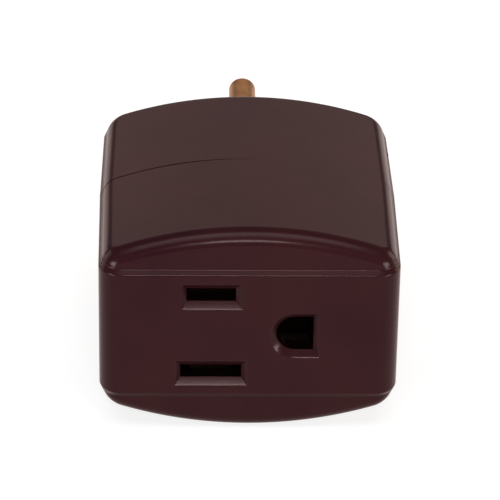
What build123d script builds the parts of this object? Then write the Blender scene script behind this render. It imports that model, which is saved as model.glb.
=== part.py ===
from build123d import *
import os

# Grounded cube tap: one plug at the back, one outlet on the front and one on each side.
# The origin is the centre of the plug face. +Y points to the wall, +Z up, +X to the viewer's right.
# Depths are measured from the front face towards the wall. Millimetres throughout.

# Outside of the housing
DEPTH = 43.9  # front face to plug face
SEAM_SHARE = 0.5125  # of the depth, from the front face to the joint between the shells
FRONT_WIDTH = 42.6  # belt width at the front face
SEAM_WIDTH = 43.0  # belt width at the joint, the widest place
REAR_WIDTH = 42.35  # belt width at the plug face
BELT_HEIGHT = 20.35  # the straight band that carries the outlets
BELT_CORNER = 3.5
BELT_EDGE = 0.3
CROWN_RISE = 2.0  # side wall of the crown, above and below the belt
CROWN_FALL = 3.975  # from the middle of the dome down to the side wall
CROWN_CORNER = 2.25
CROWN_EDGE = 0.9
END_STEP = 1.4  # crown set back from the front and rear faces
SIDE_STEP = 0.78  # crown set in from the sides
STEP_EDGE = 0.2

# Walls and the joint between the shells
END_WALL = 3.2
SIDE_WALL = 2.7
CROWN_WALL = 1.9
CAVITY_CORNER = 1.5
LIP_WALL = 0.9
LIP_LENGTH = 1.2
LIP_CLEARANCE = 0.08
GAPE = 0.14  # how far the joint stands open at its left end
GAPE_END = 3.0  # x where the joint closes
NICK_FROM_PLUG = 8.7  # plug face to the small nick in the upper right edge of the belt
NICK_SIZE = 0.9

# Outlets, to the common three-wire pattern
BLADE_PITCH = 12.7
GROUND_OFFSET = 11.89  # from the line through the blades to the ground pin
HOT_SLOT_LENGTH = 6.95
NEUTRAL_SLOT_LENGTH = 8.7
SLOT_WIDTH = 2.05
SLOT_CENTRE_X = -5.4  # slots of the front outlet
GROUND_HOLE_WIDTH = 5.45
GROUND_HOLE_LENGTH = 5.3
BEVEL_DEPTH = 0.84
BEVEL_ENDS = 0.84
BEVEL_SIDES = 1.08
HOT_BEVEL_SHIFT = 0.2  # the hot slot's bevel is wider on the side of the ground hole

# Plug
BLADE_THICKNESS = 1.5
BLADE_WIDTH = 6.35
BLADE_LENGTH = 17.8  # from the plug face
BLADE_TIP_CORNER = 1.3
BLADE_TIP_BEVEL = 0.45
BLADE_HOLE = 3.2
BLADE_HOLE_AT = 11.9
PIN_HEIGHT = 4.96  # ground pin's axis above the middle
PIN_DIAMETER = 4.76
PIN_LENGTH = 21.4
PIN_STRAIGHT = 14.4
PIN_TAPER = 2.4  # from the straight part down to the tip's diameter
PIN_TIP_DIAMETER = 4.1
PIN_NOSE = 0.35
PIN_NECK_DIAMETER = 4.3  # through the rear wall, so that the pin's shoulder stands on the plug face
PIN_HEAD = 6.4
PIN_HEAD_HEIGHT = 0.8
PLUG_CLEARANCE = 0.05

# Metal inside
FOOT_LENGTH = 6.0
FOOT_BEND = 0.9
BUS_WIDTH = 6.0
BUS_THICKNESS = 0.8
BUS_START = 10.0
BUS_REACH = 9.0  # x where the arms to the right end
BUS_GAP = 1.0  # between the neutral bus and the hot tab
TAB_WIDTH = 5.0
TAB_LAP = 3.45  # the hot tab's length on the blade's foot
CLIP_THICKNESS = 0.5
CLIP_WIDTH = 6.0
CLIP_MOUTH = 3.6  # contacts' mouths, behind the outlet's face
CLIP_END = 19.2
CLIP_FLARE = 0.55
CLIP_BEND = 0.45
CLIP_PRELOAD = 0.3
GROUND_BUS_THICKNESS = 0.6
GROUND_BUS_ARM = 3.0
GROUND_CLIP_THICKNESS = 0.6
GROUND_CLIP_WIDTH = 4.4
GROUND_CLIP_END = 22.6
GROUND_CLIP_PRELOAD = 0.4
GROUND_CLIP_GAP = 2.8  # behind the front ground contact, to the one of the right outlet

# Ribs inside the shells
RIB = 1.0
SHELF_GAP = 0.35
GUIDE_LENGTH = 9.0
GUIDE_CLEARANCE = 0.12
HOLD_RIB_X = 6.5
SHELF_BACK_GAP = 2.4

# Places and levels that follow from the sizes above
FRONT_Y = -DEPTH
SEAM_DEPTH = SEAM_SHARE * DEPTH
SEAM_Y = FRONT_Y + SEAM_DEPTH
FAR = 3 * DEPTH  # longer than the part, for cuts that go right through
CROWN_HEIGHT = BELT_HEIGHT + 2 * (CROWN_RISE + CROWN_FALL)  # over the domed top and bottom
CROWN_SIDE = max(FRONT_WIDTH, SEAM_WIDTH, REAR_WIDTH) / 2 - SIDE_STEP
CROWN_RADIUS = (CROWN_SIDE**2 + CROWN_FALL**2) / (2 * CROWN_FALL)
SLOT_HEIGHT = BLADE_PITCH / 2
BLADE_HEIGHT = PIN_HEIGHT - GROUND_OFFSET
BUS_INNER = SLOT_HEIGHT + BLADE_THICKNESS / 2 + CLIP_THICKNESS
BUS_OUTER = BUS_INNER + BUS_THICKNESS
GROUND_BUS_TOP = -PIN_DIAMETER / 2 - GROUND_CLIP_THICKNESS
GROUND_BUS_LOW = GROUND_BUS_TOP - GROUND_BUS_THICKNESS
SHELF_TOP = SLOT_HEIGHT - BLADE_THICKNESS / 2 - 2 * CLIP_THICKNESS - SHELF_GAP
WALL_DEPTH = DEPTH - END_WALL
FOOT_DEPTH = WALL_DEPTH - BLADE_THICKNESS
TAB_DEPTH = FOOT_DEPTH - BUS_THICKNESS
TAB_X = BLADE_PITCH / 2 + BLADE_THICKNESS / 2 + FOOT_LENGTH / 2
TAB = (TAB_X - TAB_WIDTH / 2, TAB_X + TAB_WIDTH / 2)
SPINE = (SLOT_CENTRE_X - BUS_WIDTH / 2, SLOT_CENTRE_X + BUS_WIDTH / 2)

# The joint passes midway between the slots and the ground hole of each side outlet
SLOT_SIDE = NEUTRAL_SLOT_LENGTH / 2 + BEVEL_ENDS
HOLE_SIDE = GROUND_HOLE_LENGTH / 2 + BEVEL_ENDS
SLOTS_TO_SEAM = (GROUND_OFFSET - HOLE_SIDE + SLOT_SIDE) / 2
RIGHT_SLOT_DEPTH = SEAM_DEPTH - SLOTS_TO_SEAM
LEFT_SLOT_DEPTH = SEAM_DEPTH + SLOTS_TO_SEAM
LEFT_HOLE_DEPTH = LEFT_SLOT_DEPTH - GROUND_OFFSET
RIGHT_HOLE_DEPTH = RIGHT_SLOT_DEPTH + GROUND_OFFSET


def block(x_span, depth_span, z_span):
    """A box between two x values, two depths and two heights."""
    spans = (x_span, depth_span, z_span)
    size = [high - low for low, high in spans]
    x, depth, z = [(low + high) / 2 for low, high in spans]
    return Pos(x, FRONT_Y + depth, z) * Box(*size)


def half_width(depth):
    """Half the belt's width at a depth, between its drafted sides."""
    if depth < SEAM_DEPTH:
        run = depth / SEAM_DEPTH
        return (FRONT_WIDTH + (SEAM_WIDTH - FRONT_WIDTH) * run) / 2
    run = (depth - SEAM_DEPTH) / (DEPTH - SEAM_DEPTH)
    return (SEAM_WIDTH + (REAR_WIDTH - SEAM_WIDTH) * run) / 2


def side_place(side, depth):
    """A frame on the right (1) or left (-1) face: x to its viewer's right, y into the body."""
    return Location((side * half_width(depth), FRONT_Y + depth, 0), (0, 0, side * 90))


def slot_places():
    """Each outlet's frame between its slots."""
    return {
        "front": Location((SLOT_CENTRE_X, FRONT_Y, 0)),
        "right": side_place(1, RIGHT_SLOT_DEPTH),
        "left": side_place(-1, LEFT_SLOT_DEPTH),
    }


def hole_places():
    """Each outlet's frame at the middle of its ground hole."""
    return {
        "front": Location((SLOT_CENTRE_X + GROUND_OFFSET, FRONT_Y, 0)),
        "right": side_place(1, RIGHT_HOLE_DEPTH),
        "left": side_place(-1, LEFT_HOLE_DEPTH),
    }


def flipped(shape):
    """The shape mirrored in height, from the hot side to the neutral side."""
    return mirror(shape, Plane.XY)


# Housing

def plan_half(end_y, end_width, side_inset, end_inset, corner):
    """Plan outline from the joint to one end, drafted and with two rounded corners."""
    inward = 1 if end_y < SEAM_Y else -1
    end_line = end_y + inward * end_inset
    half_end = end_width / 2 - side_inset
    half_seam = SEAM_WIDTH / 2 - side_inset
    outline = Polyline(
        (-half_end, end_line),
        (half_end, end_line),
        (half_seam, SEAM_Y),
        (-half_seam, SEAM_Y),
        close=True,
    )
    face = make_face(outline)
    corners = [vertex for vertex in face.vertices() if abs(vertex.Y - end_line) < 0.01]
    return fillet(corners, corner)


def crowned_half(end_y, end_width, side_inset, end_inset, crown_inset, corner):
    """Half of a block with a domed top and bottom."""
    plan = plan_half(end_y, end_width, side_inset, end_inset, corner)
    walls = extrude(plan, CROWN_HEIGHT, both=True)
    centre = CROWN_RADIUS - CROWN_HEIGHT / 2
    dome = Circle(CROWN_RADIUS - crown_inset)
    lens = Pos(0, -centre) * dome & Pos(0, centre) * dome
    return walls & extrude(Plane.XZ * lens, FAR, both=True)


def off_seam(edges):
    return [edge for edge in edges if abs(edge.center().Y - SEAM_Y) > 0.01]


def outer_half(end_y, end_width):
    """Belt and crown of one shell, filled solid."""
    belt = extrude(plan_half(end_y, end_width, 0, 0, BELT_CORNER), BELT_HEIGHT / 2, both=True)
    rim = [edge for edge in belt.edges() if abs(abs(edge.center().Z) - BELT_HEIGHT / 2) < 0.01]
    belt = chamfer(off_seam(rim), BELT_EDGE)
    crown = crowned_half(end_y, end_width, SIDE_STEP, END_STEP, 0, CROWN_CORNER)
    brow = [edge for edge in crown.edges() if abs(edge.center().Z) > BELT_HEIGHT / 2]
    crown = chamfer(off_seam(brow), CROWN_EDGE)
    body = belt + crown
    return chamfer(off_seam(new_edges(belt, crown, combined=body)), STEP_EDGE)


def cavity_half(end_y, end_width, wider=0.0):
    """Inside of one shell, or the same form a little wider for the lip."""
    side = SIDE_WALL - wider
    return crowned_half(end_y, end_width, side, END_WALL, CROWN_WALL - wider, CAVITY_CORNER)


def lip_band(wider, length):
    """A short stretch of the rear cavity's form, just behind the joint."""
    span = (SEAM_DEPTH, SEAM_DEPTH + length)
    return cavity_half(0, REAR_WIDTH, wider) & block((-FAR, FAR), span, (-FAR, FAR))


def bevelled(shape, opening, mouth, depth, shift=0.0):
    """A cut that narrows from the mouth to the opening and then runs straight."""
    over = 0.5  # the funnel carries on outside the face by this share of its depth
    wide = [outer + over * (outer - inner) for outer, inner in zip(mouth, opening)]
    start = Pos(shift * (1 + over), 0, over * BEVEL_DEPTH) * shape(*wide)
    throat = Pos(0, 0, -BEVEL_DEPTH) * shape(*opening)
    return loft([start, throat]) + extrude(throat, BEVEL_DEPTH - depth)


def d_shape(length, width):
    """Ground hole: half round towards the slots, flat on the far side."""
    radius = width / 2
    arc_x = radius - length / 2
    top = (arc_x, radius)
    low = (arc_x, -radius)
    straight = Polyline(top, (length / 2, radius), (length / 2, -radius), low)
    return make_face(straight + ThreePointArc(low, (-length / 2, 0), top))


def slot_cuts(wall):
    """Both slots of an outlet, in the frame between them."""
    slots = (
        (HOT_SLOT_LENGTH, SLOT_HEIGHT, HOT_BEVEL_SHIFT),
        (NEUTRAL_SLOT_LENGTH, -SLOT_HEIGHT, 0.0),
    )
    cuts = []
    for length, height, shift in slots:
        mouth = (length + 2 * BEVEL_ENDS, SLOT_WIDTH + 2 * BEVEL_SIDES)
        slot = bevelled(Rectangle, (length, SLOT_WIDTH), mouth, wall, shift)
        cuts.append(Plane.XZ * Pos(0, height) * slot)
    return cuts


def hole_cut(wall):
    """The ground hole of an outlet, in its own frame."""
    hole = (GROUND_HOLE_LENGTH, GROUND_HOLE_WIDTH)
    mouth = [side + 2 * BEVEL_ENDS for side in hole]
    return Plane.XZ * bevelled(d_shape, hole, mouth, wall)


def outlet_cuts():
    """Openings of the three outlets, in the part's frame."""
    through_side = SIDE_WALL + RIB / 2
    walls = {"front": END_WALL, "right": through_side, "left": through_side}
    cuts = [place * cut for name, place in slot_places().items() for cut in slot_cuts(walls[name])]
    return cuts + [place * hole_cut(walls[name]) for name, place in hole_places().items()]


def hold_rib(x, end=DEPTH):
    """A rib from the crown down to the hot bus, from the front as deep as the end."""
    return block((x - RIB / 2, x + RIB / 2), (0, end), (BUS_OUTER, CROWN_HEIGHT))


def guide_pair(centre_x, opening, z_span):
    """Two ribs behind the front wall, one on each side of a contact."""
    reach = opening / 2 + GUIDE_CLEARANCE
    spans = ((-reach - RIB, -reach), (reach, reach + RIB))
    depth_span = (END_WALL, END_WALL + GUIDE_LENGTH)
    return [block((centre_x + near, centre_x + far), depth_span, z_span) for near, far in spans]


def front_ribs():
    """Shelves, hold-down ribs and contact guides of the front shell, before trimming."""
    everywhere = (-FAR, FAR)
    shelves = [
        block(everywhere, (0, DEPTH), (SHELF_TOP - RIB, SHELF_TOP)),
        block(everywhere, (0, DEPTH), (-SHELF_TOP, GROUND_BUS_LOW)),
    ]
    guides = guide_pair(SLOT_CENTRE_X, HOT_SLOT_LENGTH, (SHELF_TOP, BUS_INNER))
    guides += guide_pair(SLOT_CENTRE_X, NEUTRAL_SLOT_LENGTH, (-BUS_INNER, -SHELF_TOP))
    ground_x = SLOT_CENTRE_X + GROUND_OFFSET
    guides += guide_pair(ground_x, GROUND_HOLE_LENGTH, (GROUND_BUS_LOW, SHELF_TOP - RIB))
    holds = [hold_rib(x) for x in (SLOT_CENTRE_X, HOLD_RIB_X)]
    return shelves + guides + holds + [flipped(rib) for rib in holds]


def rear_ribs():
    """Hold-down ribs and the shelf under the ground bus, before trimming."""
    above = [hold_rib(SLOT_CENTRE_X), hold_rib(-TAB_X, TAB_DEPTH)]
    below = [flipped(hold_rib(SLOT_CENTRE_X)), flipped(hold_rib(TAB_X, TAB_DEPTH))]
    shelf_end = TAB_DEPTH - SHELF_BACK_GAP
    shelf = block((RIB, FAR), (0, shelf_end), (-SHELF_TOP, GROUND_BUS_LOW))
    return above + below + [shelf]


def front_housing():
    """Front shell: the front outlet, and a lip that enters the rear shell."""
    cavity = cavity_half(FRONT_Y, FRONT_WIDTH)
    for rib in front_ribs():
        cavity -= rib
    lip = lip_band(LIP_WALL, LIP_LENGTH) - cavity_half(0, REAR_WIDTH)
    shell = outer_half(FRONT_Y, FRONT_WIDTH) - cavity + lip
    for cut in outlet_cuts():
        shell -= cut
    return shell


def plug_openings():
    """Slots for the blades and the hole for the pin."""
    clear = 2 * PLUG_CLEARANCE
    slot = Box(BLADE_THICKNESS + clear, 3 * END_WALL, BLADE_WIDTH + clear)
    cuts = [Pos(x, 0, BLADE_HEIGHT) * slot for x in (-BLADE_PITCH / 2, BLADE_PITCH / 2)]
    return cuts + [pin_hole(3 * END_WALL)]


def pin_hole(length):
    radius = PIN_NECK_DIAMETER / 2 + PLUG_CLEARANCE
    return Plane.XZ * Pos(0, PIN_HEIGHT) * Cylinder(radius, length)


def joint_gape():
    """Thin wedge by which the joint stands open on the left, outside the lip."""
    left = -SEAM_WIDTH / 2
    wedge = Polyline((GAPE_END, SEAM_Y), (left, SEAM_Y), (left, SEAM_Y + GAPE), close=True)
    return extrude(make_face(wedge), CROWN_HEIGHT, both=True)


def edge_nick():
    """Small nick in the belt's upper right edge."""
    x = half_width(DEPTH - NICK_FROM_PLUG)
    notch = Rot(0, 45, 0) * Box(NICK_SIZE / 2, NICK_SIZE, NICK_SIZE)
    return Pos(x, -NICK_FROM_PLUG, BELT_HEIGHT / 2) * notch


def rear_housing():
    """Rear shell with the plug face, rebated to take the front shell's lip."""
    cavity = cavity_half(0, REAR_WIDTH)
    for rib in rear_ribs():
        cavity -= rib
    rebate = lip_band(LIP_WALL + LIP_CLEARANCE, LIP_LENGTH + LIP_CLEARANCE)
    shell = outer_half(0, REAR_WIDTH) - cavity - rebate - joint_gape() - edge_nick()
    for cut in outlet_cuts() + plug_openings():
        shell -= cut
    return shell


# Contacts

def clip(width, end, thickness, half_gap, preload):
    """Folded spring contact: a flat leaf on top, a bend at the back and a sprung leaf below."""
    flat = half_gap + thickness / 2
    sprung = preload - flat
    back = end - thickness / 2
    path = FilletPolyline(
        (CLIP_MOUTH, flat + CLIP_FLARE),
        (CLIP_MOUTH + 2 * CLIP_FLARE, flat),
        (back, flat),
        (back, -flat),
        (CLIP_MOUTH + 3 * CLIP_FLARE, sprung),
        (CLIP_MOUTH, sprung - CLIP_FLARE),
        radius=CLIP_BEND,
    )
    return extrude(Plane.YZ * trace(path, thickness), width / 2, both=True)


def hot_contact():
    half_gap = BLADE_THICKNESS / 2
    spring = clip(CLIP_WIDTH, CLIP_END, CLIP_THICKNESS, half_gap, CLIP_PRELOAD)
    return Pos(0, 0, SLOT_HEIGHT) * spring


def neutral_contact():
    return flipped(hot_contact())


def ground_contact(end):
    """Clip for the ground pin, with its flat leaf on the ground bus below."""
    half_gap = PIN_DIAMETER / 2
    thickness = GROUND_CLIP_THICKNESS
    return flipped(clip(GROUND_CLIP_WIDTH, end, thickness, half_gap, GROUND_CLIP_PRELOAD))


def contacts():
    """Nine contacts, three behind each outlet."""
    nodes = {}
    for name, place in slot_places().items():
        nodes[f"hot_contact_{name}"] = place * hot_contact()
        nodes[f"neutral_contact_{name}"] = place * neutral_contact()
    front_end = RIGHT_HOLE_DEPTH - GROUND_CLIP_WIDTH / 2 - GROUND_CLIP_GAP
    ends = {"front": front_end, "right": GROUND_CLIP_END, "left": GROUND_CLIP_END}
    for name, place in hole_places().items():
        nodes[f"ground_contact_{name}"] = place * ground_contact(ends[name])
    return nodes


# Buses

def strip(x_span, depth_span):
    """A rectangle in plan between two x values and two depths."""
    width = x_span[1] - x_span[0]
    length = depth_span[1] - depth_span[0]
    return Pos(x_span[0] + width / 2, FRONT_Y + depth_span[0] + length / 2) * Rectangle(width, length)


def stamped(strips, low, thickness):
    """A flat stamping made of strips."""
    outline = strips[0]
    for piece in strips[1:]:
        outline += piece
    return extrude(Pos(0, 0, low) * outline, thickness)


def around(depth, width):
    return (depth - width / 2, depth + width / 2)


def live_strips(spine_end):
    """Spine and right arm, the same on the hot and the neutral bus."""
    return [
        strip(SPINE, (BUS_START, spine_end)),
        strip((SPINE[0], BUS_REACH), around(RIGHT_SLOT_DEPTH, BUS_WIDTH)),
    ]


def hot_bus():
    """Upper bus: joins the hot contacts and drops a tab to the hot blade's foot."""
    tab = (-TAB[1], -TAB[0])
    strips = live_strips(TAB_DEPTH)
    strips.append(strip((tab[0], SPINE[1]), (TAB_DEPTH - BUS_WIDTH, TAB_DEPTH)))
    foot_top = BLADE_HEIGHT + BLADE_WIDTH / 2
    drop = block(tab, (TAB_DEPTH, FOOT_DEPTH), (foot_top - TAB_LAP, BUS_OUTER))
    return stamped(strips, BUS_INNER, BUS_THICKNESS) + drop


def neutral_bus():
    """Lower bus: joins the neutral contacts and turns up to the neutral blade's foot."""
    arm_end = TAB_DEPTH - BUS_GAP
    arm = (arm_end - BUS_WIDTH, arm_end)
    strips = live_strips(arm_end)
    strips.append(strip((SPINE[0], TAB[1]), arm))
    strips.append(strip(TAB, (arm[0], TAB_DEPTH)))
    rise = block(TAB, (TAB_DEPTH, FOOT_DEPTH), (-BUS_OUTER, BLADE_HEIGHT + BLADE_WIDTH / 2))
    return stamped(strips, -BUS_OUTER, BUS_THICKNESS) + rise


def ground_bus():
    """Middle bus under the ground contacts, turned up at the back for the ground pin."""
    half = BUS_WIDTH / 2
    front_x = SLOT_CENTRE_X + GROUND_OFFSET
    width = GROUND_CLIP_WIDTH
    back = WALL_DEPTH
    strips = [
        strip((-half, half), (LEFT_HOLE_DEPTH - width / 2, back)),
        strip((-half - GROUND_BUS_ARM, half), around(LEFT_HOLE_DEPTH, width)),
        strip((-half, half + GROUND_BUS_ARM), around(RIGHT_HOLE_DEPTH, width)),
        strip((-half, front_x + width / 2), around(LEFT_HOLE_DEPTH + half, width)),
    ]
    rise_top = PIN_HEIGHT + half
    rise = block((-half, half), (back - GROUND_BUS_THICKNESS, back), (GROUND_BUS_LOW, rise_top))
    bus = stamped(strips, GROUND_BUS_LOW, GROUND_BUS_THICKNESS) + rise
    return bus - pin_hole(FAR)


# Plug

def hot_blade():
    """Flat blade with a foot turned outwards behind the rear wall."""
    root_y = FRONT_Y + FOOT_DEPTH
    length = BLADE_LENGTH - root_y
    x = -BLADE_PITCH / 2
    blade = Pos(x, root_y + length / 2, BLADE_HEIGHT) * Box(BLADE_THICKNESS, length, BLADE_WIDTH)
    tip = blade.faces().sort_by(Axis.Y)[-1]
    blade = fillet(tip.edges().filter_by(Axis.X), BLADE_TIP_CORNER)
    end_edges = blade.faces().sort_by(Axis.Y)[-1].edges().filter_by(Axis.Z)
    blade = chamfer(end_edges, BLADE_TIP_BEVEL, 2 * BLADE_TIP_BEVEL)
    blade -= Pos(x, BLADE_HOLE_AT, BLADE_HEIGHT) * Rot(0, 90, 0) * Cylinder(BLADE_HOLE / 2, BLADE_WIDTH)
    outer_x = x - BLADE_THICKNESS / 2 - FOOT_LENGTH
    levels = around(BLADE_HEIGHT, BLADE_WIDTH)
    foot = block((outer_x, x + BLADE_THICKNESS / 2), (FOOT_DEPTH, WALL_DEPTH), levels)
    blade += foot
    bend = [edge for edge in blade.edges().filter_by(Axis.Z) if abs(edge.center().Y - root_y) < 0.01]
    return fillet(sorted(bend, key=lambda edge: edge.center().X)[-1], FOOT_BEND)


def neutral_blade():
    return mirror(hot_blade(), Plane.YZ)


def ground_pin():
    """Solid pin: a narrower end, a shoulder on the plug face and a head inside the rear wall."""
    radius = PIN_DIAMETER / 2
    neck = PIN_NECK_DIAMETER / 2
    tip = PIN_TIP_DIAMETER / 2
    head_y = FRONT_Y + WALL_DEPTH - GROUND_BUS_THICKNESS
    profile = Polyline(
        (0, head_y - PIN_HEAD_HEIGHT),
        (PIN_HEAD / 2, head_y - PIN_HEAD_HEIGHT),
        (PIN_HEAD / 2, head_y),
        (neck, head_y),
        (neck, 0),
        (radius, 0),
        (radius, PIN_STRAIGHT),
        (tip, PIN_STRAIGHT + PIN_TAPER),
        (tip, PIN_LENGTH - PIN_NOSE),
        (tip - PIN_NOSE, PIN_LENGTH),
        (0, PIN_LENGTH),
        close=True,
    )
    return Pos(0, 0, PIN_HEIGHT) * revolve(make_face(profile), Axis.Y)


def pieces():
    nodes = {
        "front_housing": front_housing(),
        "rear_housing": rear_housing(),
        "hot_blade": hot_blade(),
        "neutral_blade": neutral_blade(),
        "ground_pin": ground_pin(),
        "hot_bus": hot_bus(),
        "neutral_bus": neutral_bus(),
        "ground_bus": ground_bus(),
    }
    nodes.update(contacts())
    return nodes


os.makedirs("parts", exist_ok=True)
for name, piece in pieces().items():
    export_step(piece, f"parts/{name}.step")
    print(name, len(piece.solids()), round(piece.volume, 1))
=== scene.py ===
import math

import bmesh
import bpy
from mathutils import Matrix, Vector


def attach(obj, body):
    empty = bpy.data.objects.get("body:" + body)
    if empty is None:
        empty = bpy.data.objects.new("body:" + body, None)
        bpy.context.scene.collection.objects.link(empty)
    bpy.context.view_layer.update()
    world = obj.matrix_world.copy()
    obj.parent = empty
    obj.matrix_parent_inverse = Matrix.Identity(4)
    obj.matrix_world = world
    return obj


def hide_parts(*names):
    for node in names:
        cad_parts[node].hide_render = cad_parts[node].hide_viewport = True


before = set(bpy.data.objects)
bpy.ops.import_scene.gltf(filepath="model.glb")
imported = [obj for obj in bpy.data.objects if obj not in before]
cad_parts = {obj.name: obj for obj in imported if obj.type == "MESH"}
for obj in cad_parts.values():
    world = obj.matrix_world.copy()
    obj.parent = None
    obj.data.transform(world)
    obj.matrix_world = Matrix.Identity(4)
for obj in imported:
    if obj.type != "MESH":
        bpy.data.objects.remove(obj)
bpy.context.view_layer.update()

# The finished look of the grounded cube tap. Lengths are in millimetres until a piece is dressed.
# The origin is the centre of the plug face. +Y points to the wall, +Z up, +X to the viewer's
# right. Depths of outlets are counted from the front face towards the wall.

MM = 0.001

# Housing, as in the part's source, with true roundings and a finer step in place of its bevels
DEPTH = 43.9
SEAM_DEPTH = 22.5
FRONT_WIDTH = 42.6
SEAM_WIDTH = 43.0
REAR_WIDTH = 42.35
BELT_HALF = 10.175
BELT_CORNER = 3.5
CROWN_HALF = 16.15
CROWN_RADIUS = 56.0
CROWN_CORNER = 2.7
FRONT_ROUND = 2.45  # over the front, above the belt
LOWER_ROUND = 2.0  # over the front, below the belt
BACK_ROUND = 2.0
SIDE_ROUND = 1.8
END_STEP = 0.72  # how far the crown stands in from the belt's ends
SIDE_STEP = 0.45
STEP_SLOPE = 49.0  # steepest turn of the step between belt and crown, in degrees
STEP_ROUND = 0.6
STEP_FOOT = 9.6  # heights where the belt's wall ends and the crown's begins
STEP_TOP = 10.77
CROWN_FOOT = 10.83  # lowest height that the crown's rounding may reach
END_WALL = 3.2
SIDE_WALL = 2.7
CROWN_WALL = 1.9
CAVITY_CORNER = 1.5
CAVITY_RING = 0.5  # height of the cavity's middle ring of points
CAVITY_OVERLAP = 1.0  # how far the cavity's cutter passes the joint
FRONT_Y = -DEPTH
SEAM_Y = FRONT_Y + SEAM_DEPTH
FRONT_SHELL = (FRONT_Y, FRONT_WIDTH)  # y and width of a shell's end
REAR_SHELL = (0.0, REAR_WIDTH)

# The joint stands a little open at its left end, and again at the very right
GAPE = 0.28
GAPE_END = 3.0
GAPE_RUN = 13.0
RIGHT_GAPE = 0.1
RIGHT_GAPE_START = 17.5
NICK_SIZE = 0.9
NICK_Y = -8.7
NICK_TURN = 45

# Outlets
SLOT_X = -5.4
SLOT_HEIGHT = 6.35
GROUND_OFFSET = 11.89
SLOT_WIDTH = 2.05
HOT_SLOT = 6.95
NEUTRAL_SLOT = 8.7
HOLE_LENGTH = 5.3
HOLE_WIDTH = 5.45
BEVEL_DEPTH = 0.84
BEVEL_ENDS = 0.84
BEVEL_SIDES = 1.08
BEVEL_SHIFT = 0.2
BEVEL_LIP = 0.16
LIP_PROFILE = ((-0.6, 1.55), (-0.02, 1.14), (0.03, 1.05))  # depth and share of the bevel's spread
RIGHT_SLOT_DEPTH = 15.7
LEFT_SLOT_DEPTH = 29.3
SLOT_REACH = 4.4

# Plug
BLADE_X = 6.35
BLADE_Z = -6.93
BLADE_THICKNESS = 1.6
BLADE_WIDTH = 6.45
PIN_Z = 4.96
PIN_RADIUS = 2.38
PIN_NECK = 2.15
PIN_CLEARANCE = 0.05
PIN_HEAD = 3.2
PIN_HEAD_Y = (-4.6, -3.8)
PIN_STRAIGHT = 14.4
PIN_TAPER = 2.4
PIN_LENGTH = 21.4
PIN_TIP = 2.05
PIN_NOSE = 0.4

# Camera, fitted to the photograph: focal length in pixels, angles in degrees, clipping in metres
FOCAL = 3336.262
DISTANCE = 464.894
PITCH, YAW, ROLL = 30.639, 1.569, 0.987
AIM = (-0.088, FRONT_Y, 14.155)
IMAGE = 500
SENSOR = 36.0
CLIPPING = (0.02, 20.0)

# Fineness of the meshes
ARC_STEPS = 10
SIDE_STEPS = 10
COLUMNS = 56
ROUND_STEPS = 6
CROWN_STEPS = 12
HOLE_STEPS = 28
LATHE_STEPS = 72
LATHE_TURN = 0.3  # share of a step that keeps a turned piece's points off the middle line
SAME_POINT = 1e-4
NO_LENGTH = 1e-5
CREASE = 32  # degrees from which an edge stays sharp
FLATNESS = 100  # how much large faces pull the shading of their edges

# Numbers of the two plastics on a shell's faces. The second is a near black painted shade for the
# throats of the openings and the inside
OUTSIDE, SHADED_INSIDE = 0, 1


# Housing

def dome(x, inset=0.0):
    """Height of the domed top at x."""
    radius = CROWN_RADIUS - inset
    return math.sqrt(radius * radius - x * x) - CROWN_RADIUS + CROWN_HALF


def seam_y(x, gape):
    """Where a shell's face at the joint lies at x."""
    if not gape:
        return SEAM_Y
    left = GAPE * min(1.0, max(0.0, (GAPE_END - x) / GAPE_RUN))
    right = RIGHT_GAPE * max(0.0, (x - RIGHT_GAPE_START) / (SEAM_WIDTH / 2 - RIGHT_GAPE_START))
    return SEAM_Y + left + right


def outline(shell, side_inset, end_inset, corner):
    """Right side of the plan from the joint to the end: points and their inward normals."""
    end_y, end_width = shell
    inward = 1.0 if end_y < SEAM_Y else -1.0
    start = Vector((SEAM_WIDTH / 2 - side_inset, SEAM_Y))
    tip = Vector((end_width / 2 - side_inset, end_y + inward * end_inset))
    along = (tip - start).normalized()
    from_side = Vector((-abs(along.y), -inward * along.x))
    from_end = Vector((0.0, inward))
    shift = corner * (1 - from_side.dot(from_end)) / from_side.x
    centre = tip + Vector((shift, inward * corner))
    first = centre - from_side * corner
    points = [(start.lerp(first, step / SIDE_STEPS), from_side) for step in range(SIDE_STEPS)]
    begin = math.atan2(-from_side.y, -from_side.x)
    turn = math.atan2(-inward, 0.0) - begin
    for step in range(ARC_STEPS + 1):
        angle = begin + turn * step / ARC_STEPS
        outward = Vector((math.cos(angle), math.sin(angle)))
        points.append((centre + corner * outward, -outward))
    return points


# A level is a plan outline with two rules: its inset and its height at a point of the outline.

def flat_level(base, inset, z):
    """A level of even inset and height."""
    return base, lambda foot, inward: inset, lambda x, foot, inward: z


def crown_level(base, end_round, share):
    """A level of the rounding from the crown's wall to its dome. The belt may cut it short."""
    def turned(foot, inward):
        radius = SIDE_ROUND + (end_round - SIDE_ROUND) * abs(inward.y)
        low = math.asin(max(0.0, 1 - (dome(foot.x) - CROWN_FOOT) / radius))
        return radius, low + (math.pi / 2 - low) * share

    def inset(foot, inward):
        radius, turn = turned(foot, inward)
        return radius * (1 - math.cos(turn))

    def height(x, foot, inward):
        radius, turn = turned(foot, inward)
        return max(dome(x) - radius * (1 - math.sin(turn)), CROWN_FOOT)

    return base, inset, height


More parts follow.
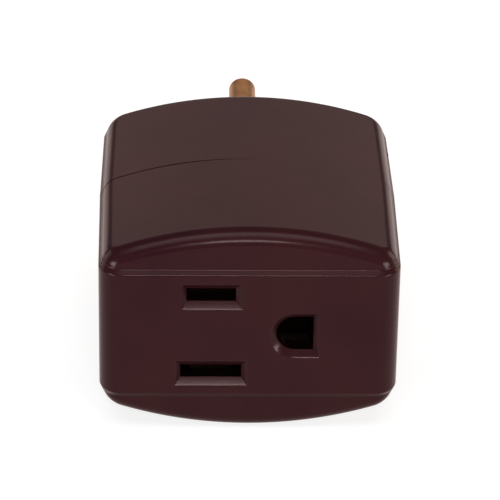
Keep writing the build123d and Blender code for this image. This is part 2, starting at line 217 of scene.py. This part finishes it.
def outer_levels(shell, end_round):
    """Levels of half the outside, from the belt's wall over the step and the crown to the dome."""
    belt = outline(shell, 0, 0, BELT_CORNER)
    crown = outline(shell, SIDE_STEP, END_STEP, CROWN_CORNER)
    turns = [math.radians(STEP_SLOPE) * step / ROUND_STEPS for step in range(ROUND_STEPS + 1)]
    levels = []
    for turn in turns:
        inset, rise = STEP_ROUND * (1 - math.cos(turn)), STEP_ROUND * math.sin(turn)
        levels.append(flat_level(belt, inset, STEP_FOOT + rise))
    for turn in reversed(turns):
        inset, drop = STEP_ROUND * (math.cos(turn) - 1), STEP_ROUND * math.sin(turn)
        levels.append(flat_level(crown, inset, STEP_TOP - drop))
    for step in range(CROWN_STEPS + 1):
        levels.append(crown_level(crown, end_round, step / CROWN_STEPS))
    return levels


def cavity_levels(shell):
    """Levels of half the inside, which is a plain room under a dome."""
    wall = outline(shell, SIDE_WALL, END_WALL, CAVITY_CORNER)
    under_crown = (wall, lambda foot, inward: 0, lambda x, foot, inward: dome(x, CROWN_WALL))
    return [flat_level(wall, 0, CAVITY_RING), under_crown]


def stacked(name, lower, upper, gape=False, seam_shift=0.0):
    """A closed half block from levels. Only the upper half gapes at the joint."""
    mesh = bmesh.new()
    stack = [(level, -1.0) for level in reversed(lower)] + [(level, 1.0) for level in upper]

    def corner_at(x, y, z, row):
        y = seam_y(x, gape and z > 0) + seam_shift if row == 0 else y
        return mesh.verts.new((x, y, z))

    def ended(layer, row, side):
        """The point of one row on the right (1) or left (-1) side."""
        (base, inset, height), sign = layer
        foot, inward = base[row]
        place = foot + inward * inset(foot, inward)
        return corner_at(side * place.x, place.y, sign * height(place.x, foot, inward), row)

    def fronted(layer):
        """Points along the end face, without its two ends."""
        (base, inset, height), sign = layer
        foot, inward = base[-1]
        points = []
        for column in range(1, COLUMNS):
            own = Vector((foot.x * (2 * column / COLUMNS - 1), foot.y))
            y = own.y + inward.y * inset(own, inward)
            points.append(corner_at(own.x, y, sign * height(own.x, own, inward), -1))
        return points

    def across(layer, row):
        """Points of one row from the left side to the right."""
        (base, inset, height), sign = layer
        foot, inward = base[row]
        place = foot + inward * inset(foot, inward)
        places = [place.x * (2 * column / COLUMNS - 1) for column in range(COLUMNS + 1)]
        return [corner_at(x, place.y, sign * height(x, foot, inward), row) for x in places]

    def around(layer):
        """Points of one level from the joint's left end to its right end."""
        rows = range(len(layer[0][0]))
        left = [ended(layer, row, -1) for row in rows]
        return left + fronted(layer) + [ended(layer, row, 1) for row in reversed(rows)]

    def join(lines):
        for first, second in zip(lines, lines[1:]):
            for corners in zip(first, first[1:], second[1:], second):
                mesh.faces.new(corners)

    join([around(layer) for layer in stack])
    join([across(layer, 0) for layer in stack])
    for layer in (stack[0], stack[-1]):
        join([across(layer, row) for row in range(len(layer[0][0]))])
    bmesh.ops.remove_doubles(mesh, verts=mesh.verts, dist=SAME_POINT)
    bmesh.ops.dissolve_degenerate(mesh, edges=mesh.edges, dist=NO_LENGTH)
    bmesh.ops.recalc_face_normals(mesh, faces=mesh.faces)
    return made(name, mesh)


def block(name, shell, lower_round, upper_round, gape=False):
    """One shell's outside, filled solid."""
    return stacked(name, outer_levels(shell, lower_round), outer_levels(shell, upper_round), gape)


def cavity(shell, shift):
    """Cutter for the inside of one shell, carried past the joint by a shift in y."""
    levels = cavity_levels(shell)
    thing = stacked("cutter", levels, levels, seam_shift=shift)
    # The cavity's faces take the near black plastic, a painted shade of the inside.
    for face in thing.data.polygons:
        face.material_index = SHADED_INSIDE
    return thing


def made(name, mesh):
    """An object of a mesh, still in millimetres."""
    data = bpy.data.meshes.new(name)
    mesh.to_mesh(data)
    mesh.free()
    thing = bpy.data.objects.new(name, data)
    bpy.context.scene.collection.objects.link(thing)
    return thing


# Cutters for the openings

def rectangle(length, width):
    """A rule for the corners of a rectangle, grown by given amounts at its ends and sides."""
    def corners(ends, sides):
        x, z = length / 2 + ends, width / 2 + sides
        return [(-x, -z), (x, -z), (x, z), (-x, z)]
    return corners


def d_outline(length, width):
    """The same rule for the ground hole: half round towards the slots, flat on the far side."""
    def corners(ends, sides):
        radius = width / 2 + sides
        middle = width / 2 - length / 2
        points = [(length / 2 + ends, -radius), (length / 2 + ends, radius)]
        for step in range(HOLE_STEPS + 1):
            turn = math.pi / 2 + math.pi * step / HOLE_STEPS
            points.append((middle + radius * math.cos(turn), radius * math.sin(turn)))
        return points[::-1]
    return corners


def funnel(corners, place, sides=BEVEL_SIDES, shift=0.0):
    """Cutter with a rounded lip, a bevel and a straight throat. Its x runs right and its y in."""
    profile = LIP_PROFILE + (
        (BEVEL_LIP, 1.0 - BEVEL_LIP / BEVEL_DEPTH),
        (BEVEL_DEPTH, 0.0),
        (SLOT_REACH, 0.0),
    )
    mesh = bmesh.new()
    rings = []
    for depth, share in profile:
        points = corners(BEVEL_ENDS * share, sides * share)
        rings.append([mesh.verts.new((x + shift * share, depth, z)) for x, z in points])
    for first, second in zip(rings, rings[1:]):
        for index in range(len(first)):
            after = (index + 1) % len(first)
            face = mesh.faces.new((first[index], first[after], second[after], second[index]))
            # The throat's faces take the near black plastic, a painted shade. The lip and the
            # bevel keep the brown.
            face.material_index = SHADED_INSIDE if second is rings[-1] else OUTSIDE
    mesh.faces.new(rings[0])
    mesh.faces.new(rings[-1])
    bmesh.ops.transform(mesh, matrix=place, verts=mesh.verts)
    bmesh.ops.recalc_face_normals(mesh, faces=mesh.faces)
    return made("cutter", mesh)


def half_width(depth):
    """Half the belt's width at a depth behind the front face."""
    if depth < SEAM_DEPTH:
        return (FRONT_WIDTH + (SEAM_WIDTH - FRONT_WIDTH) * depth / SEAM_DEPTH) / 2
    run = (depth - SEAM_DEPTH) / (DEPTH - SEAM_DEPTH)
    return (SEAM_WIDTH + (REAR_WIDTH - SEAM_WIDTH) * run) / 2


def side_place(side, depth):
    """A frame on the right (1) or left (-1) face."""
    turn = Matrix.Rotation(math.radians(90 * side), 4, "Z")
    return Matrix.Translation((side * half_width(depth), FRONT_Y + depth, 0)) @ turn


def outlet_cutters(slots_place, hole_place):
    """Hot slot, neutral slot and ground hole of one outlet."""
    up = Matrix.Translation((0, 0, SLOT_HEIGHT))
    down = Matrix.Translation((0, 0, -SLOT_HEIGHT))
    return [
        funnel(rectangle(HOT_SLOT, SLOT_WIDTH), slots_place @ up, shift=BEVEL_SHIFT),
        funnel(rectangle(NEUTRAL_SLOT, SLOT_WIDTH), slots_place @ down),
        funnel(d_outline(HOLE_LENGTH, HOLE_WIDTH), hole_place, sides=BEVEL_ENDS),
    ]


def side_cutters(side, slot_depth):
    """Cutters of the outlet on the right (1) or left (-1) face."""
    hole_depth = slot_depth + side * GROUND_OFFSET
    return outlet_cutters(side_place(side, slot_depth), side_place(side, hole_depth))


def side_openings(own):
    """Those cutters of the side outlets that fall in one shell."""
    found = []
    for side, depth in ((1, RIGHT_SLOT_DEPTH), (-1, LEFT_SLOT_DEPTH)):
        cutters = side_cutters(side, depth)
        kept = cutters[own[side]]
        for cutter in cutters:
            if cutter not in kept:
                bpy.data.objects.remove(cutter)
        found += kept
    return found


def box_cutter(middle, size, turn=0.0):
    """A box, turned about the Y direction by an angle in degrees."""
    mesh = bmesh.new()
    bmesh.ops.create_cube(mesh, size=1.0)
    bmesh.ops.scale(mesh, vec=size, verts=mesh.verts)
    bmesh.ops.rotate(mesh, matrix=Matrix.Rotation(math.radians(turn), 3, "Y"), verts=mesh.verts)
    bmesh.ops.translate(mesh, vec=middle, verts=mesh.verts)
    return made("cutter", mesh)


def plug_cutters():
    """Slots for the blades and the hole for the pin's neck."""
    through = 3 * END_WALL
    blade = (BLADE_THICKNESS, through, BLADE_WIDTH)
    cutters = [box_cutter((x, 0, BLADE_Z), blade) for x in (-BLADE_X, BLADE_X)]
    radius = PIN_NECK + PIN_CLEARANCE
    hole = [(0, -through / 2), (radius, -through / 2), (radius, through / 2), (0, through / 2)]
    return cutters + [lathe("cutter", hole, PIN_Z)]


def nick_cutter():
    """Small nick in the belt's upper right edge."""
    place = (half_width(DEPTH + NICK_Y), NICK_Y, BELT_HALF)
    return box_cutter(place, (NICK_SIZE / 2, NICK_SIZE, NICK_SIZE), turn=NICK_TURN)


def cut(target, cutters):
    """Takes the cutters out of the target and removes them. Their faces keep their own plastic,
    which in the throats and the inside is the painted shade plastic.
    """
    for thing in [target] + cutters:
        for material in PLASTICS:
            thing.data.materials.append(material)
    bpy.context.view_layer.update()
    for cutter in cutters:
        modifier = target.modifiers.new("cut", "BOOLEAN")
        modifier.operation = "DIFFERENCE"
        modifier.solver = "EXACT"
        modifier.material_mode = "INDEX"
        modifier.object = cutter
    evaluated = target.evaluated_get(bpy.context.evaluated_depsgraph_get())
    data = bpy.data.meshes.new_from_object(evaluated)
    target.modifiers.clear()
    target.data = data
    for cutter in cutters:
        bpy.data.objects.remove(cutter)


# Pieces

def lathe(name, profile, z):
    """A solid turned about the line through x = 0 at this height, from (radius, y) points."""
    mesh = bmesh.new()
    turns = [2 * math.pi * (step + LATHE_TURN) / LATHE_STEPS for step in range(LATHE_STEPS)]
    rings = []
    for radius, y in profile:
        if radius == 0:
            rings.append([mesh.verts.new((0, y, z))])
            continue
        places = [(radius * math.cos(turn), y, z + radius * math.sin(turn)) for turn in turns]
        rings.append([mesh.verts.new(place) for place in places])
    for first, second in zip(rings, rings[1:]):
        for index in range(LATHE_STEPS):
            after = (index + 1) % LATHE_STEPS
            corners = [first[index % len(first)], first[after % len(first)]]
            corners += [second[after % len(second)], second[index % len(second)]]
            mesh.faces.new(list(dict.fromkeys(corners)))
    bmesh.ops.recalc_face_normals(mesh, faces=mesh.faces)
    return made(name, mesh)


def front_shell():
    """The front shell also holds the right outlet's slots and the left outlet's ground hole."""
    thing = block("front_shell", FRONT_SHELL, LOWER_ROUND, FRONT_ROUND)
    slots = Matrix.Translation((SLOT_X, FRONT_Y, 0))
    hole = Matrix.Translation((SLOT_X + GROUND_OFFSET, FRONT_Y, 0))
    own_sides = side_openings({1: slice(0, 2), -1: slice(2, 3)})
    cut(thing, [cavity(FRONT_SHELL, CAVITY_OVERLAP)] + outlet_cutters(slots, hole) + own_sides)
    return thing


def rear_shell():
    """The rear shell also holds the right outlet's ground hole and the left outlet's slots."""
    thing = block("rear_shell", REAR_SHELL, BACK_ROUND, BACK_ROUND, gape=True)
    own_sides = side_openings({1: slice(2, 3), -1: slice(0, 2)})
    inside = [cavity(REAR_SHELL, -CAVITY_OVERLAP), nick_cutter()]
    cut(thing, inside + plug_cutters() + own_sides)
    return thing


def turned_pin():
    """Ground pin: a head inside, a shoulder on the plug face and a rounded narrower end."""
    nose = []
    for step in range(ROUND_STEPS + 1):
        turn = math.pi / 2 * step / ROUND_STEPS
        radius = PIN_TIP - PIN_NOSE * (1 - math.cos(turn))
        nose.append((radius, PIN_LENGTH - PIN_NOSE * (1 - math.sin(turn))))
    profile = [
        (0, PIN_HEAD_Y[0]),
        (PIN_HEAD, PIN_HEAD_Y[0]),
        (PIN_HEAD, PIN_HEAD_Y[1]),
        (PIN_NECK, PIN_HEAD_Y[1]),
        (PIN_NECK, 0),
        (PIN_RADIUS, 0),
        (PIN_RADIUS, PIN_STRAIGHT),
        (PIN_TIP, PIN_STRAIGHT + PIN_TAPER),
    ]
    return lathe("ground_pin_turned", profile + nose + [(0, PIN_LENGTH)], PIN_Z)


def to_metres(thing):
    thing.data.transform(Matrix.Scale(MM, 4))


def smooth(thing):
    """Smooth shading with sharp creases, weighted so that flat faces stay flat."""
    thing.data.shade_smooth()
    thing.data.set_sharp_from_angle(angle=math.radians(CREASE))
    modifier = thing.modifiers.new("weights", "WEIGHTED_NORMAL")
    modifier.keep_sharp = True
    modifier.weight = FLATNESS


def dress(thing, node):
    """Brings a piece to metres, smooths it and sets it in place of a node."""
    to_metres(thing)
    smooth(thing)
    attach(thing, "root")
    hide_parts(node)


# Materials. Colours in whole numbers are sRGB, 0 to 255. A noise is its scale per metre and its
# detail, and a bump is its noise, its strength and its depth in metres.

BROWN = ((0.32, (43, 17, 23)), (0.5, (47, 20, 24)), (0.68, (50, 22, 24)))
# A near black brown, painted as the shade in the throats of the openings and inside the shells.
SHADE_DARK_BROWN = ((0.32, (14, 5, 5)), (0.68, (18, 7, 7)))
PLASTIC_CLOUDS = (85.0, 4.0)
PLASTIC_SHEEN = (420.0, 3.0)
PLASTIC_ROUGHNESS = (0.18, 0.24)
PLASTIC_SKIN = ((2600.0, 2.0), 0.05, 0.00004)
PLASTIC_WAVES = ((160.0, 2.0), 0.06, 0.0004)
PLASTIC_IOR = 1.24
PLASTIC_TINT = (1.0, 0.76, 0.75, 1.0)

# Name, darker and lighter colour, roughness and stretch of the grain along x, y and z
TARNISHED = ("tarnished_brass", (152, 106, 72), (194, 150, 100), 0.42, (1.0, 0.05, 1.0))
ROLLED = ("rolled_brass", (186, 152, 96), (214, 184, 126), 0.32, (1.0, 0.05, 1.0))
# The contacts' brass colours are made dark as a painted shade of the outlets' depths.
INNER_SHADED_BRASS = ("inner_brass_painted_shade", (52, 40, 28), (70, 54, 36), 0.5, (1.0, 0.2, 1.0))
TARNISH = (240.0, 5.0)
TARNISH_STOPS = (0.35, 0.65)
TARNISH_SPREAD = 0.08
BRASS_GRAIN = (900.0, 3.0)
GRAIN_STRENGTH = 0.1
GRAIN_DEPTH = 0.00004


def srgb(*values):
    """Linear colour of an sRGB colour written 0 to 255."""
    return tuple(
        value / 255 / 12.92 if value < 11 else ((value / 255 + 0.055) / 1.055) ** 2.4
        for value in values
    )


class Finish:
    """A material, with short ways to add noise, colour bands, ranges and bumps to its shader."""

    def __init__(self, name):
        self.material = bpy.data.materials.new(name)
        self.material.use_nodes = True
        self.nodes = self.material.node_tree.nodes
        self.links = self.material.node_tree.links
        self.shader = self.nodes["Principled BSDF"]
        self.where = self.nodes.new("ShaderNodeTexCoord").outputs["Object"]
        self.normal = None

    def constant(self, **values):
        for name, value in values.items():
            self.shader.inputs[name.replace("_", " ")].default_value = value

    def noise(self, scale, detail, stretch=(1.0, 1.0, 1.0)):
        mapping = self.nodes.new("ShaderNodeMapping")
        mapping.inputs["Scale"].default_value = stretch
        self.links.new(self.where, mapping.inputs["Vector"])
        texture = self.nodes.new("ShaderNodeTexNoise")
        texture.inputs["Scale"].default_value = scale
        texture.inputs["Detail"].default_value = detail
        self.links.new(mapping.outputs["Vector"], texture.inputs["Vector"])
        return texture.outputs["Fac"]

    def ramp(self, source, stops):
        node = self.nodes.new("ShaderNodeValToRGB")
        while len(node.color_ramp.elements) < len(stops):
            node.color_ramp.elements.new(0.5)
        for element, (position, colour) in zip(node.color_ramp.elements, stops):
            element.position = position
            element.color = (*colour, 1.0)
        self.links.new(source, node.inputs["Fac"])
        return node.outputs["Color"]

    def spread(self, source, low, high):
        """A value that runs from low to high while the source runs from 0 to 1."""
        node = self.nodes.new("ShaderNodeMapRange")
        node.inputs["To Min"].default_value = low
        node.inputs["To Max"].default_value = high
        self.links.new(source, node.inputs["Value"])
        return node.outputs["Result"]

    def feed(self, name, source):
        self.links.new(source, self.shader.inputs[name])

    def bump(self, source, strength, depth):
        """One more layer of bump, with its depth in metres."""
        node = self.nodes.new("ShaderNodeBump")
        node.inputs["Strength"].default_value = strength
        node.inputs["Distance"].default_value = depth
        self.links.new(source, node.inputs["Height"])
        if self.normal:
            self.links.new(self.normal, node.inputs["Normal"])
        self.normal = node.outputs["Normal"]
        self.feed("Normal", self.normal)


def plastic(name, bands):
    """Dark moulded plastic: faint clouding, a fine skin, slight waves and a satin gloss."""
    finish = Finish(name)
    stops = [(position, srgb(*colour)) for position, colour in bands]
    finish.feed("Base Color", finish.ramp(finish.noise(*PLASTIC_CLOUDS), stops))
    sheen = finish.noise(*PLASTIC_SHEEN)
    finish.feed("Roughness", finish.spread(sheen, *PLASTIC_ROUGHNESS))
    for noise, strength, depth in (PLASTIC_SKIN, PLASTIC_WAVES):
        finish.bump(finish.noise(*noise), strength, depth)
    finish.constant(IOR=PLASTIC_IOR, Specular_Tint=PLASTIC_TINT)
    return finish.material


def brass(name, low, high, roughness, grain):
    """Brass with a drawn or rolled grain and patches of tarnish."""
    finish = Finish(name)
    patches = finish.noise(*TARNISH)
    stops = [(position, srgb(*colour)) for position, colour in zip(TARNISH_STOPS, (low, high))]
    finish.feed("Base Color", finish.ramp(patches, stops))
    limits = (roughness - TARNISH_SPREAD, roughness + TARNISH_SPREAD)
    finish.feed("Roughness", finish.spread(patches, *limits))
    finish.bump(finish.noise(*BRASS_GRAIN, grain), GRAIN_STRENGTH, GRAIN_DEPTH)
    finish.constant(Metallic=1.0)
    return finish.material


def paint(thing, material):
    thing.data.materials.clear()
    thing.data.materials.append(material)


# Camera, floor and light. Lamps stand about the part, at an azimuth of 0 for the camera's side
# and 90 for the viewer's right.

FLOOR_HALF = 3000
FLOOR_CLOUDS = (40.0, 3.0)
FLOOR_STOPS = ((0.3, (0.39,) * 3), (0.7, (0.41,) * 3))
FLOOR_ROUGHNESS = 0.9
FLOOR_LIFT = 0.76  # the floor's own glow, which lifts it to white
FLOOR_WARMTH = (0.92, 0.72, 0.67)  # the glow's tint in reflections
WORLD_LEVEL = 0.12
WHITE = (1, 1, 1)

# Name, azimuth, elevation, distance, size, brightness and tint, in degrees and metres
SOFTBOXES = (
    ("key", 0, 33, 1.0, (0.24, 0.08), 36.0, WHITE),
    ("top", 0, 68, 1.0, (1.0, 0.3), 1.9, WHITE),
    ("over", 0, 82, 1.0, (1.0, 0.3), 3.0, WHITE),
    ("corner_left", -52, 6, 1.0, (0.5, 0.18), 17.0, WHITE),
    ("corner_right", 52, 6, 1.0, (0.5, 0.18), 17.0, WHITE),
    ("back", 180, 28, 1.4, (1.6, 0.6), 0.85, (1.0, 0.76, 0.66)),
    ("left", -112, 12, 1.0, (0.4, 0.6), 2.0, (1.0, 0.8, 0.75)),
    ("right", 112, 12, 1.0, (0.4, 0.6), 3.6, (1.0, 0.8, 0.62)),
)


def camera():
    """Camera from the fit to the photograph."""
    turns = [(ROLL, "Y"), (PITCH, "X"), (YAW, "Z")]
    seen = Matrix.Identity(3)
    for angle, axis in turns:
        seen = seen @ Matrix.Rotation(math.radians(angle), 3, axis)
    back = seen.transposed()
    right, forward, up = [back @ Vector(axis) for axis in ((1, 0, 0), (0, 1, 0), (0, 0, 1))]
    place = Vector(AIM) - forward * DISTANCE
    turn = Matrix((right, up, -forward)).transposed()
    data = bpy.data.cameras.new("camera")
    data.sensor_width = SENSOR
    data.lens = FOCAL * SENSOR / IMAGE
    data.clip_start, data.clip_end = CLIPPING
    thing = bpy.data.objects.new("camera", data)
    thing.matrix_world = Matrix.Translation(place * MM) @ turn.to_4x4()
    bpy.context.scene.collection.objects.link(thing)
    bpy.context.scene.camera = thing


def white_floor():
    """A pale floor that shows white where no shadow falls, and a little warm in reflections."""
    mesh = bmesh.new()
    bmesh.ops.create_grid(mesh, x_segments=1, y_segments=1, size=FLOOR_HALF)
    bmesh.ops.translate(mesh, vec=(0, 0, -CROWN_HALF), verts=mesh.verts)
    floor = made("floor", mesh)
    to_metres(floor)
    finish = Finish("white_floor")
    finish.feed("Base Color", finish.ramp(finish.noise(*FLOOR_CLOUDS), FLOOR_STOPS))
    finish.constant(Roughness=FLOOR_ROUGHNESS, Specular_IOR_Level=0.0)
    path = finish.nodes.new("ShaderNodeLightPath").outputs
    either = finish.nodes.new("ShaderNodeMath")
    either.operation = "MAXIMUM"
    finish.links.new(path["Is Camera Ray"], either.inputs[0])
    finish.links.new(path["Is Glossy Ray"], either.inputs[1])
    finish.feed("Emission Strength", finish.spread(either.outputs[0], 0.0, FLOOR_LIFT))
    tints = [(0.0, FLOOR_WARMTH), (1.0, WHITE)]
    finish.feed("Emission Color", finish.ramp(path["Is Camera Ray"], tints))
    paint(floor, finish.material)


def softbox(name, azimuth, elevation, distance, size, brightness, tint):
    """An area light that faces the part."""
    across, level = math.radians(azimuth), math.radians(elevation)
    flat = distance * math.cos(level)
    place = Vector((flat * math.sin(across), -flat * math.cos(across), distance * math.sin(level)))
    data = bpy.data.lights.new(name, "AREA")
    data.shape = "RECTANGLE"
    data.size, data.size_y = size
    data.energy = math.pi * size[0] * size[1] * brightness
    data.color = tint
    thing = bpy.data.objects.new(name, data)
    thing.location = place + Vector((0, FRONT_Y / 2 * MM, 0))
    thing.rotation_euler = (-place).to_track_quat("-Z", "Y").to_euler()
    bpy.context.scene.collection.objects.link(thing)


def studio():
    white_floor()
    for lamp in SOFTBOXES:
        softbox(*lamp)
    world = bpy.data.worlds.new("studio")
    world.use_nodes = True
    background = world.node_tree.nodes["Background"]
    background.inputs["Color"].default_value = (*WHITE, 1)
    background.inputs["Strength"].default_value = WORLD_LEVEL
    bpy.context.scene.world = world
    bpy.context.scene.view_settings.view_transform = "Standard"


# The scene. Both plastics are on both shells: the second, a near black painted shade, lines the
# openings and the inside.

camera()
# The second plastic is painted shade.
PLASTICS = (plastic("brown_plastic", BROWN), plastic("painted_shade_plastic", SHADE_DARK_BROWN))
dress(front_shell(), "front_housing")
dress(rear_shell(), "rear_housing")
pin = turned_pin()
paint(pin, brass(*TARNISHED))
dress(pin, "ground_pin")
# The contacts take the darkened inner brass, a painted shade.
rolled, inner = brass(*ROLLED), brass(*INNER_SHADED_BRASS)
for name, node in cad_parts.items():
    if name not in ("front_housing", "rear_housing", "ground_pin"):
        paint(node, rolled if "blade" in name else inner)
studio()
